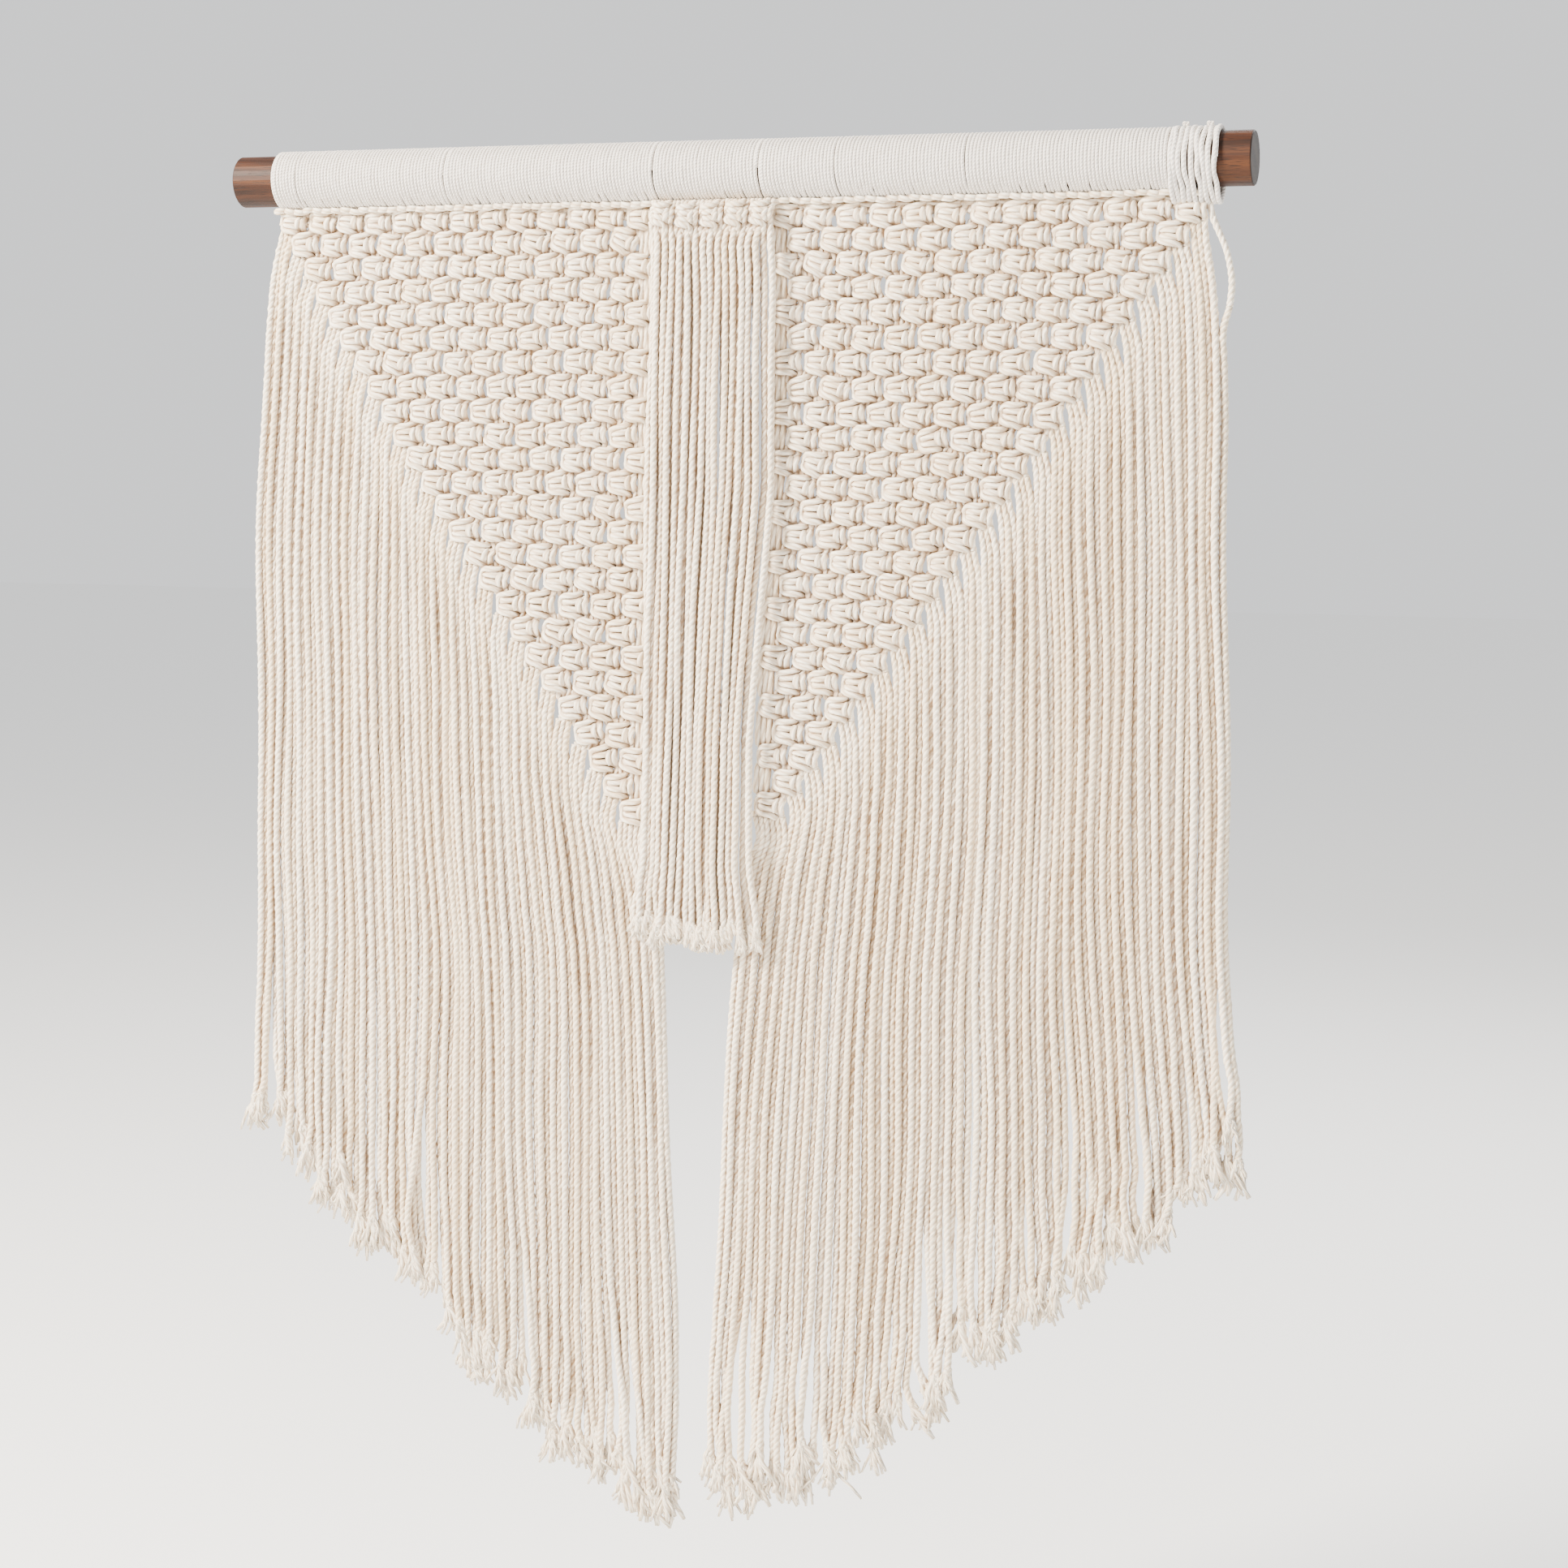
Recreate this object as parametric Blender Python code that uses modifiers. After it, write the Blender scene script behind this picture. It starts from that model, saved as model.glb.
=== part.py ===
# A macrame wall hanging on a wooden dowel, hanging as it does in use.
#
# Metres, +Z up, +X to the right as the front is looked at, and the front faces -Y.
# The origin is the middle of the dowel's axis, which is where the hanging is held.
# Sizes are written in millimetres in the tables and turned to metres by MM.

import math
import random

import bmesh
import bpy

MM = 0.001

# The dowel: a plain round bar of walnut.
DOWEL_LENGTH = 735.0
DOWEL_RADIUS = 18.0
DOWEL_CHAMFER = 0.8
ROUND_SIDES = 32

# The wrapping cord, wound round the dowel in lengths that meet end to end.
WRAP_RADIUS_IN = 18.4
WRAP_RADIUS_OUT = 21.0
WRAP_ROUND_SIDES = 28
WRAP_GAP = 0.3
# name, left end, right end
WRAP_LENGTHS = (
    ("wrap_outer_left", -335.2, -199.8),
    ("wrap_left", -199.8, -42.6),
    ("wrap_centre", -42.6, 33.8),
    ("wrap_right", 33.8, 313.4),
)
# The last turns at the right are loose, and lie as separate rounds.
WRAP_LOOSE_START = 313.7
WRAP_LOOSE_TURNS = 8
WRAP_LOOSE_PITCH = 4.0
WRAP_LOOSE_RISE = 0.4

# The holding cord under the dowel, which every knotted cord is looped over.
HEADING_RADIUS = 2.8
HEADING_DROP = 24.6
HEADING_LEFT = -331.0
HEADING_RIGHT = 344.5
HEADING_SIDES = 10

# The two nets of square knots, thirteen knots wide at the top and one at the tip.
COLUMNS = 13
ROWS = 2 * COLUMNS - 1
NET_THICKNESS = 9.0
PIECE_GAP = 0.3

# Middle of a row of knots: row number, height.
LEFT_ROWS = ((0, -29.5), (4, -96.0), (15, -282.0), (24, -446.0))
RIGHT_ROWS = ((0, -32.0), (4, -96.0), (8, -165.0), (19, -350.0), (24, -437.0))

# The net's edge next to the centre, and the width of one column: height, inner edge, column.
LEFT_NET = (
    (-28.0, 48.5, 22.3),
    (-95.0, 49.0, 22.9),
    (-280.0, 49.5, 24.6),
    (-360.0, 51.5, 24.3),
    (-450.0, 53.0, 24.0),
)
RIGHT_NET = (
    (-28.0, 36.7, 23.1),
    (-165.0, 36.6, 23.1),
    (-267.0, 32.8, 23.2),
    (-334.0, 28.5, 23.6),
    (-440.0, 24.5, 24.0),
)

# Edges of the fringes as they hang: height, inner edge, outer edge.
LEFT_FRINGE = (
    (-36.0, 48.5, 339.0),
    (-67.0, 48.5, 350.0),
    (-160.0, 49.0, 358.0),
    (-280.0, 49.5, 363.5),
    (-450.0, 52.5, 368.0),
    (-550.0, 38.0, 368.5),
    (-690.0, 36.5, 376.0),
    (-795.0, 32.0, 376.0),
    (-955.0, 33.5, 376.0),
)
RIGHT_FRINGE = (
    (-36.0, 36.7, 337.3),
    (-75.0, 36.7, 345.6),
    (-107.0, 36.6, 349.3),
    (-212.0, 35.0, 352.7),
    (-362.0, 27.5, 357.0),
    (-450.0, 24.0, 356.5),
    (-550.0, 8.0, 363.0),
    (-655.0, 1.5, 378.0),
    (-790.0, -6.5, 380.0),
    (-940.0, -10.5, 380.0),
)

# How low the cut ends come in the middle of each tooth, from the innermost tooth outwards.
LEFT_HEM = (-952, -947, -928, -918, -894, -875, -863, -800, -784, -770, -750, -713, -690)
RIGHT_HEM = (-941, -935, -920, -905, -882, -866, -820, -799, -772, -745, -722, -702, -668)

# Each tooth of a fringe is the cords that leave one column of knots.
FRINGE_THICKNESS = 5.2
SLIT_WIDTH = 1.4
SPINE_HEIGHT = 12.0
SLIT_STEPS = 4
HEM_JAG = 5.0

# The centre fringe hangs from its own knots, in front of the gap between the nets.
CENTRE_TEETH = 9
CENTRE_TOP = -22.5
CENTRE_KNOT_HEIGHT = 13.0
CENTRE_FRONT = -17.0
CENTRE_BACK = -5.4
CENTRE_HEM = -538.0
# height, left edge, right edge
CENTRE_EDGES = (
    (-22.5, -47.0, 42.0),
    (-78.0, -49.0, 45.3),
    (-160.0, -52.5, 45.5),
    (-215.0, -53.5, 44.5),
    (-293.0, -54.5, 37.2),
    (-390.0, -56.0, 30.6),
    (-480.0, -59.5, 28.8),
    (-538.0, -68.5, 35.5),
)

# The gaps left open in each net: lens-shaped, in every other row and column.
GAP_WIDTH = 5.0
GAP_HEIGHT = 10.0
GAP_SHOULDER = 2.2

# The outermost right cord hangs slack, clear of the fringe: out from the centre, height.
SLACK_RADIUS = 2.3
SLACK_PATH = ((340.4, -37.0), (345.2, -47.5), (349.8, -58.0), (352.9, -70.0), (354.2, -81.0), (353.0, -95.0))
SLACK_SIDES = 8

SEED = 7


def clear_scene():
    for obj in list(bpy.data.objects):
        bpy.data.objects.remove(obj, do_unlink=True)


def make_material(name, colour, roughness):
    material = bpy.data.materials.new(name)
    material.use_nodes = True
    shader = material.node_tree.nodes["Principled BSDF"]
    shader.inputs["Base Color"].default_value = (*colour, 1.0)
    shader.inputs["Roughness"].default_value = roughness
    shader.inputs["Metallic"].default_value = 0.0
    return material


def lookup(table, key, column=1):
    """Read a column of a table between its rows, and hold its end values beyond them."""
    rows = sorted(table)
    if key <= rows[0][0]:
        return rows[0][column]
    for low, high in zip(rows, rows[1:]):
        if key <= high[0]:
            share = (key - low[0]) / (high[0] - low[0])
            return low[column] + share * (high[column] - low[column])
    return rows[-1][column]


def weld(obj):
    """Join a new mesh's doubled points, so that it is one closed body."""
    mesh = bmesh.new()
    mesh.from_mesh(obj.data)
    bmesh.ops.remove_doubles(mesh, verts=mesh.verts, dist=0.00001)
    bmesh.ops.recalc_face_normals(mesh, faces=mesh.faces)
    mesh.to_mesh(obj.data)
    mesh.free()


def to_mesh(obj):
    bpy.ops.object.select_all(action="DESELECT")
    obj.select_set(True)
    bpy.context.view_layer.objects.active = obj
    bpy.ops.object.convert(target="MESH")
    weld(obj)


def make_plate(name, loops, front, back, material):
    """Cut a plate with the given outline and holes, standing upright between two depths."""
    curve = bpy.data.curves.new(name, "CURVE")
    curve.dimensions = "2D"
    curve.fill_mode = "BOTH"
    curve.extrude = (back - front) / 2.0 * MM
    for loop in loops:
        spline = curve.splines.new("POLY")
        spline.points.add(len(loop) - 1)
        for point, (x, z) in zip(spline.points, loop):
            point.co = (x * MM, z * MM, 0.0, 1.0)
        spline.use_cyclic_u = True
    obj = bpy.data.objects.new(name, curve)
    bpy.context.collection.objects.link(obj)
    obj.rotation_euler = (math.radians(90.0), 0.0, 0.0)
    obj.location = (0.0, (front + back) / 2.0 * MM, 0.0)
    to_mesh(obj)
    obj.data.materials.append(material)
    return obj


def make_rod(name, path, radius, sides, material):
    """Run a round cord along a path, with its ends capped."""
    curve = bpy.data.curves.new(name, "CURVE")
    curve.dimensions = "3D"
    curve.bevel_depth = radius * MM
    curve.bevel_resolution = max(0, sides // 2 - 2)
    curve.use_fill_caps = True
    spline = curve.splines.new("POLY")
    spline.points.add(len(path) - 1)
    for point, (x, y, z) in zip(spline.points, path):
        point.co = (x * MM, y * MM, z * MM, 1.0)
    obj = bpy.data.objects.new(name, curve)
    bpy.context.collection.objects.link(obj)
    to_mesh(obj)
    obj.data.materials.append(material)
    return obj


def make_sleeve(name, profile, material):
    """Turn a closed profile of (along the dowel, radius) round the dowel's axis."""
    mesh = bpy.data.meshes.new(name)
    points = [(0.0, radius * MM, along * MM) for along, radius in profile]
    edges = [(index, (index + 1) % len(points)) for index in range(len(points))]
    mesh.from_pydata(points, edges, [])
    obj = bpy.data.objects.new(name, mesh)
    bpy.context.collection.objects.link(obj)
    turn = obj.modifiers.new("turn", "SCREW")
    turn.axis = "Z"
    turn.angle = math.radians(360.0)
    turn.screw_offset = 0.0
    turn.steps = WRAP_ROUND_SIDES
    turn.render_steps = WRAP_ROUND_SIDES
    turn.use_merge_vertices = True
    turn.merge_threshold = 0.00001
    obj.rotation_euler = (0.0, math.radians(90.0), 0.0)
    to_mesh(obj)
    obj.data.materials.append(material)
    return obj


def make_dowel(material):
    bpy.ops.mesh.primitive_cylinder_add(
        vertices=ROUND_SIDES,
        radius=DOWEL_RADIUS * MM,
        depth=DOWEL_LENGTH * MM,
        rotation=(0.0, math.radians(90.0), 0.0),
    )
    dowel = bpy.context.object
    dowel.name = "dowel"
    dowel.data.name = "dowel"
    edge = dowel.modifiers.new("edge", "BEVEL")
    edge.width = DOWEL_CHAMFER * MM
    edge.segments = 1
    edge.limit_method = "ANGLE"
    edge.angle_limit = math.radians(60.0)
    dowel.data.materials.append(material)
    return dowel


def make_wraps(material):
    for name, left, right in WRAP_LENGTHS:
        start = left + (WRAP_GAP if name != WRAP_LENGTHS[0][0] else 0.0)
        profile = (
            (start, WRAP_RADIUS_IN),
            (right, WRAP_RADIUS_IN),
            (right, WRAP_RADIUS_OUT - 0.6),
            (right - 0.8, WRAP_RADIUS_OUT),
            (start + 0.8, WRAP_RADIUS_OUT),
            (start, WRAP_RADIUS_OUT - 0.6),
        )
        make_sleeve(name, profile, material)
    end = WRAP_LOOSE_START + WRAP_LOOSE_TURNS * WRAP_LOOSE_PITCH
    profile = [(end, WRAP_RADIUS_IN), (WRAP_LOOSE_START, WRAP_RADIUS_IN)]
    for turn in range(WRAP_LOOSE_TURNS):
        start = WRAP_LOOSE_START + turn * WRAP_LOOSE_PITCH
        profile.append((start, WRAP_RADIUS_OUT - 0.9))
        profile.append((start + WRAP_LOOSE_PITCH / 2.0, WRAP_RADIUS_OUT + WRAP_LOOSE_RISE))
    profile.append((end, WRAP_RADIUS_OUT - 0.9))
    make_sleeve("wrap_loose", profile, material)


class Side:
    """One half of the hanging: where its rows, columns and cords are."""

    def __init__(self, name, sign, rows, net, fringe, hem):
        self.name = name
        self.sign = sign
        self.rows = rows
        self.net = net
        self.fringe = fringe
        self.hem = [(tooth + 0.5, height) for tooth, height in enumerate(hem)]

    def row_height(self, row):
        return lookup(self.rows, row)

    def row_foot(self, row):
        """Height of the line between a row and the next one down."""
        if row < ROWS - 1:
            return (self.row_height(row) + self.row_height(row + 1)) / 2.0
        return self.row_height(row) - (self.row_height(row - 1) - self.row_height(row)) / 2.0

    def net_columns(self, z):
        """Columns that the net still has at a height: half a column fewer in each row."""
        for row in range(ROWS):
            if z > self.row_foot(row):
                return COLUMNS - row / 2.0
        return 0.0

    def net_out(self, column, z):
        return lookup(self.net, z, 1) + column * lookup(self.net, z, 2)

    def fringe_out(self, column, z):
        """Distance from the centre of a place across the fringe, at a height."""
        inner = lookup(self.fringe, z, 1)
        outer = lookup(self.fringe, z, 2)
        held = self.net_columns(z)
        if held > 0.0:
            inner = self.net_out(held, z)
        share = (column - held) / (COLUMNS - held) if held < COLUMNS else 1.0
        return inner + share * (outer - inner)


def hold(side, points):
    """Put an outline that was drawn outwards from the centre on its own side."""
    return [(side.sign * out, z) for out, z in points]


def net_gaps(side):
    """The lens-shaped gaps between neighbouring knots, in every other row and column."""
    loops = []
    lens = (
        (0.0, GAP_HEIGHT / 2.0),
        (GAP_WIDTH / 2.0, GAP_SHOULDER),
        (GAP_WIDTH / 2.0, -GAP_SHOULDER),
        (0.0, -GAP_HEIGHT / 2.0),
        (-GAP_WIDTH / 2.0, -GAP_SHOULDER),
        (-GAP_WIDTH / 2.0, GAP_SHOULDER),
    )
    for row in range(2, ROWS - 3, 2):
        z = side.row_height(row)
        for column in range(1, COLUMNS - row // 2):
            if (column + row // 2) % 2 == 0:
                out = side.net_out(column, z)
                loops.append(hold(side, [(out + across, z + up) for across, up in lens]))
    return loops


def make_net(side, material):
    """A stepped triangle, half a column narrower in each row, with its gaps cut through."""
    top = -HEADING_DROP - HEADING_RADIUS - PIECE_GAP
    outline = [(side.net_out(0.0, top), top), (side.net_out(COLUMNS, top), top)]
    for row in range(ROWS):
        foot = side.row_foot(row)
        held = COLUMNS - row / 2.0
        following = held - 0.5 if row < ROWS - 1 else 0.0
        outline.append((side.net_out(held, foot), foot))
        outline.append((side.net_out(following, foot), foot))
    for z, inner, column in sorted(side.net)[1:-1]:
        outline.append((inner, z))
    half = NET_THICKNESS / 2.0
    make_plate("net_" + side.name, [hold(side, outline)] + net_gaps(side), -half, half, material)


def comb_top(side):
    """The comb's stepped top, a gap below the net's own steps, from the outside in."""
    points = []
    for row in range(ROWS):
        foot = side.row_foot(row)
        held = COLUMNS - row / 2.0
        last = row == ROWS - 1
        following = 0.0 if last else held - 0.5
        points.append((side.net_out(held, foot) + (PIECE_GAP if row else 0.0), foot - PIECE_GAP))
        points.append((side.net_out(following, foot) + (0.0 if last else PIECE_GAP), foot - PIECE_GAP))
    return points


def fringe_edge(side, column, high, low):
    """Points down one edge of the fringe, at the heights in its table."""
    heights = sorted((row[0] for row in side.fringe), reverse=True)
    return [(side.fringe_out(column, z), z) for z in heights if low + 2.0 < z < high - 2.0]


def tooth_foot(side, tooth, chance):
    """The cut end of a tooth, a little uneven."""
    points = []
    for corner in range(4):
        column = tooth + (0.0, 0.375, 0.625, 1.0)[corner]
        shift = (SLIT_WIDTH / 2.0, 0.0, 0.0, -SLIT_WIDTH / 2.0)[corner]
        z = lookup(side.hem, tooth + (corner + 0.5) / 4.0) + chance.uniform(-HEM_JAG, HEM_JAG)
        points.append((side.fringe_out(column, z) + shift, z))
    return points


def slit_sides(side, slit, low, chance):
    """The slit between two teeth, up to the spine under the net and down again."""
    high = side.row_foot(2 * (COLUMNS - slit)) - PIECE_GAP - SPINE_HEIGHT
    sway = chance.uniform(-1.0, 1.0)
    middles = []
    for step in range(1, SLIT_STEPS + 1):
        z = low + (high - low) * step / SLIT_STEPS
        bend = sway * math.sin(math.pi * step / SLIT_STEPS)
        middles.append((side.fringe_out(slit, z) + bend, z))
    up = [(out - SLIT_WIDTH / 2.0, z) for out, z in middles]
    down = [(out + SLIT_WIDTH / 2.0, z) for out, z in reversed(middles)]
    return up + down


def make_fringe(side, material, chance):
    """A comb under the net's stepped edge: one tooth for each column, cut to the hem."""
    outline = comb_top(side)
    top = outline[0][1]
    foot = tooth_foot(side, 0, chance)
    outline += fringe_edge(side, 0.0, outline[-1][1], foot[0][1]) + foot
    for slit in range(1, COLUMNS):
        outline += slit_sides(side, slit, outline[-1][1], chance)
        outline += tooth_foot(side, slit, chance)
    outline += reversed(fringe_edge(side, COLUMNS, top, outline[-1][1]))
    half = FRINGE_THICKNESS / 2.0
    make_plate("fringe_" + side.name, [hold(side, outline)], -half, half, material)


def make_centre_fringe(material, chance):
    """A thicker comb in front of the nets, with scalloped knots along its top."""

    def across(share, z):
        left = lookup(CENTRE_EDGES, z, 1)
        right = lookup(CENTRE_EDGES, z, 2)
        return left + share * (right - left)

    outline = []
    for tooth in range(CENTRE_TEETH):
        share = tooth / CENTRE_TEETH
        width = 1.0 / CENTRE_TEETH
        outline.append((across(share + 0.04 * width, CENTRE_TOP), CENTRE_TOP - 3.0))
        outline.append((across(share + 0.30 * width, CENTRE_TOP), CENTRE_TOP))
        outline.append((across(share + 0.70 * width, CENTRE_TOP), CENTRE_TOP))
        outline.append((across(share + 0.96 * width, CENTRE_TOP), CENTRE_TOP - 3.0))
    knot_foot = CENTRE_TOP - CENTRE_KNOT_HEIGHT
    slit_top = knot_foot - SPINE_HEIGHT
    for z in (knot_foot, -160.0, -390.0, -480.0):
        outline.append((across(1.0, z), z))
    for tooth in reversed(range(CENTRE_TEETH)):
        low = tooth / CENTRE_TEETH
        high = (tooth + 1) / CENTRE_TEETH
        for share, shift in ((high, -SLIT_WIDTH / 2.0), ((low + high) / 2.0, 0.0), (low, SLIT_WIDTH / 2.0)):
            z = CENTRE_HEM + chance.uniform(-HEM_JAG, HEM_JAG)
            outline.append((across(share, z) + shift, z))
        if tooth == 0:
            break
        heights = (-480.0, -270.0, slit_top)
        for z in heights:
            outline.append((across(low, z) + SLIT_WIDTH / 2.0, z))
        for z in reversed(heights):
            outline.append((across(low, z) - SLIT_WIDTH / 2.0, z))
    for z in (-480.0, -390.0, -160.0, knot_foot):
        outline.append((across(0.0, z), z))
    make_plate("fringe_centre", [outline], CENTRE_FRONT, CENTRE_BACK, material)


def main():
    clear_scene()
    chance = random.Random(SEED)
    walnut = make_material("walnut", (0.165, 0.068, 0.032), 0.45)
    cotton = make_material("cotton", (0.78, 0.73, 0.66), 0.95)
    wrapping = make_material("wrapping_cord", (0.74, 0.71, 0.67), 0.95)

    make_dowel(walnut)
    make_wraps(wrapping)
    make_rod(
        "heading",
        ((HEADING_LEFT, 0.0, -HEADING_DROP), (HEADING_RIGHT, 0.0, -HEADING_DROP)),
        HEADING_RADIUS,
        HEADING_SIDES,
        cotton,
    )
    left = Side("left", -1.0, LEFT_ROWS, LEFT_NET, LEFT_FRINGE, LEFT_HEM)
    right = Side("right", 1.0, RIGHT_ROWS, RIGHT_NET, RIGHT_FRINGE, RIGHT_HEM)
    for side in (left, right):
        make_net(side, cotton)
        make_fringe(side, cotton, chance)
    make_centre_fringe(cotton, chance)
    path = [(x, 0.0, z) for x, z in SLACK_PATH]
    make_rod("slack_cord", path, SLACK_RADIUS, SLACK_SIDES, cotton)


main()
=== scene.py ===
import math
import random

import bpy
import numpy as np
from mathutils import Matrix, Vector, noise


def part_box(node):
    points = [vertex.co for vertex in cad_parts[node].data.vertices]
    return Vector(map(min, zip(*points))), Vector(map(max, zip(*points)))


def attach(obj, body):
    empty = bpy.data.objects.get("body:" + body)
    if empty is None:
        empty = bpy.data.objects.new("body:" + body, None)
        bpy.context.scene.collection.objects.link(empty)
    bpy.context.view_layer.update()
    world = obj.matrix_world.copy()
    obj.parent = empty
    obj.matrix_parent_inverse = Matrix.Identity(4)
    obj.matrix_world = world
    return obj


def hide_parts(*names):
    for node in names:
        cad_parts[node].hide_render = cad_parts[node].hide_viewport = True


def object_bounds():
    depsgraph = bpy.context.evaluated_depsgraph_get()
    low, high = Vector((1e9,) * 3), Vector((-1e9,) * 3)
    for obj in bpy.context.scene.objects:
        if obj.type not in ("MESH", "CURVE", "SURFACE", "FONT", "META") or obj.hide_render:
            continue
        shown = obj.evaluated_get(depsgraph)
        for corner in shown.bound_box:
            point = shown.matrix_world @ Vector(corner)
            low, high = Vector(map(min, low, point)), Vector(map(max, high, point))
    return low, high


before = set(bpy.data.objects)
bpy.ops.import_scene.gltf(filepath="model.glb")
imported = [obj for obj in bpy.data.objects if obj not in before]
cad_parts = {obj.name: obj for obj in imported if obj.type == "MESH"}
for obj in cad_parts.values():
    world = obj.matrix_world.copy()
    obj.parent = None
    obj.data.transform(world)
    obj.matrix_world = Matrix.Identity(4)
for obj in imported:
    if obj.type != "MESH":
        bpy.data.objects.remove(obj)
cad_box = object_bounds()
bpy.ops.object.select_all(action="DESELECT")

MM = 0.001


# ---------------------------------------------------------------------------
# The room: where the hanging is looked at from, a pale floor under it and soft light.
# The camera stands a little to the right of the middle, about two metres off, and looks
# slightly down. The main light is a large soft one, high at the left.

def srgb(code):
    """A colour written as sRGB hex, as the linear values that a shader takes."""
    shares = [int(code[at:at + 2], 16) / 255.0 for at in (1, 3, 5)]
    linear = [s / 12.92 if s <= 0.04045 else ((s + 0.055) / 1.055) ** 2.4 for s in shares]
    return (*linear, 1.0)


def add_node(tree, kind, settings=None, links=None):
    """Add a node with its own settings and socket values, and link other nodes' outputs to it."""
    node = tree.nodes.new(kind)
    for name, value in (settings or {}).items():
        if isinstance(name, int) or name in node.inputs:
            node.inputs[name].default_value = value
        else:
            setattr(node, name, value)
    for name, source in (links or {}).items():
        tree.links.new(source, node.inputs[name])
    return node


def new_material(name):
    """A material with only its Principled shader, which is returned with the node tree."""
    material = bpy.data.materials.new(name)
    material.use_nodes = True
    return material, material.node_tree, material.node_tree.nodes["Principled BSDF"]


CAMERA_PLACE = Vector((0.6935, -1.9236, -0.1684))
CAMERA_TURN = math.radians(18.564)
CAMERA_TILT = math.radians(90.0 - 7.122)
CAMERA_ROLL = math.radians(0.206)
FLOOR_DROP = 0.32
# the middle of the hanging, which every light faces
LIGHTS_AIM = Vector((0.0, 0.0, -0.45))

camera_data = bpy.data.cameras.new("camera")
camera_data.lens = 67.17
camera_data.sensor_width = 36.0
camera = bpy.data.objects.new("camera", camera_data)
camera.matrix_world = (
    Matrix.Translation(CAMERA_PLACE)
    @ Matrix.Rotation(CAMERA_TURN, 4, "Z")
    @ Matrix.Rotation(CAMERA_TILT, 4, "X")
    @ Matrix.Rotation(CAMERA_ROLL, 4, "Z")
)
bpy.context.scene.collection.objects.link(camera)
bpy.context.scene.camera = camera

bpy.ops.mesh.primitive_plane_add(size=30.0, location=(0.0, 0.0, cad_box[0].z - FLOOR_DROP))
floor = bpy.context.object
floor.name = "floor"

# flat white paint, which gives no gloss and only the softest shade
paint, _, paint_shader = new_material("painted_floor")
paint_shader.inputs["Base Color"].default_value = srgb("#F9F9F8")
paint_shader.inputs["Roughness"].default_value = 0.9
floor.data.materials.append(paint)

# name, place, size, watts, colour
LIGHTS = (
    ("key_light", (-2.2, -2.0, 1.45), 1.0, 680.0, "#FFF5E6"),
    ("fill_light", (1.6, -2.6, 0.2), 2.4, 30.0, "#F4F7FF"),
    ("back_light", (0.6, 2.6, 1.4), 2.0, 90.0, "#FFFFFF"),
)
for light_name, place, size, watts, colour in LIGHTS:
    light_data = bpy.data.lights.new(light_name, "AREA")
    light_data.size = size
    light_data.energy = watts
    light_data.color = srgb(colour)[:3]
    light = bpy.data.objects.new(light_name, light_data)
    light.location = place
    toward = LIGHTS_AIM - Vector(place)
    light.rotation_euler = toward.to_track_quat("-Z", "Y").to_euler()
    bpy.context.scene.collection.objects.link(light)

world = bpy.data.worlds.new("soft_daylight")
world.use_nodes = True
sky = world.node_tree.nodes["Background"]
sky.inputs["Color"].default_value = srgb("#E6E7E8")
sky.inputs["Strength"].default_value = 1.4
bpy.context.scene.world = world


# ---------------------------------------------------------------------------
# The dowel: a round bar of walnut, sanded and oiled, with its two cut ends bare.
# Its shape is the CAD part's. Walnut is a dark brown open-pored wood: long streaks and short
# dark pores run along the bar, and the cut ends are greyer and show the rings.

DOWEL_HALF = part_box("dowel")[1].x
# how far in from the ends their own colour reaches
END_SKIN = 0.4 * MM
# real rings are this wide, and are drawn about six times as wide so that they show
RING_WIDTH = 2.2 * MM
# from the heart of the tree to the bar's axis
HEART = (0.0, 0.03, 0.05)
STREAK_WIDTH = 3.0 * RING_WIDTH
STREAKS_A_METRE = 9.0
# real pores are 0.1 to 0.3 mm across, too fine to show, so they are drawn coarser
PORE_WIDTH = 0.35 * MM
PORE_LENGTH = 7.0 * MM

walnut, tree, shader = new_material("oiled_walnut")
place = add_node(tree, "ShaderNodeTexCoord").outputs["Object"]
along_grain = add_node(
    tree, "ShaderNodeMapping",
    {"Scale": (STREAKS_A_METRE, 1.0 / STREAK_WIDTH, 1.0 / STREAK_WIDTH)}, {"Vector": place},
).outputs["Vector"]
streaks = add_node(
    tree, "ShaderNodeTexNoise", {"Scale": 1.0, "Detail": 5.0, "Roughness": 0.62, "Distortion": 0.4},
    {"Vector": along_grain},
).outputs["Fac"]
pore_place = add_node(
    tree, "ShaderNodeMapping", {"Scale": (1.0 / PORE_LENGTH, 1.0 / PORE_WIDTH, 1.0 / PORE_WIDTH)},
    {"Vector": place},
).outputs["Vector"]
pore_noise = add_node(
    tree, "ShaderNodeTexNoise", {"Scale": 0.6, "Detail": 2.0}, {"Vector": pore_place}
).outputs["Fac"]
pores = add_node(
    tree, "ShaderNodeMapRange",
    {"From Min": 0.56, "From Max": 0.68, "To Min": 0.0, "To Max": 1.0}, {"Value": pore_noise},
).outputs["Result"]
ramp = add_node(tree, "ShaderNodeValToRGB", links={"Fac": streaks})
ramp.color_ramp.elements[0].position = 0.30
ramp.color_ramp.elements[0].color = srgb("#1E0D05")
ramp.color_ramp.elements[1].position = 0.72
ramp.color_ramp.elements[1].color = srgb("#4C2A12")
middle_brown = ramp.color_ramp.elements.new(0.50)
middle_brown.color = srgb("#341909")
sides_colour = add_node(
    tree, "ShaderNodeMix", {"data_type": "RGBA", 7: srgb("#180A04")},
    {"Factor": pores, 6: ramp.outputs["Color"]},
).outputs[2]
ring_place = add_node(
    tree, "ShaderNodeMapping", {"Location": HEART, "Scale": (0.0, 1.0, 1.0)},
    {"Vector": place},
).outputs["Vector"]
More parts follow.
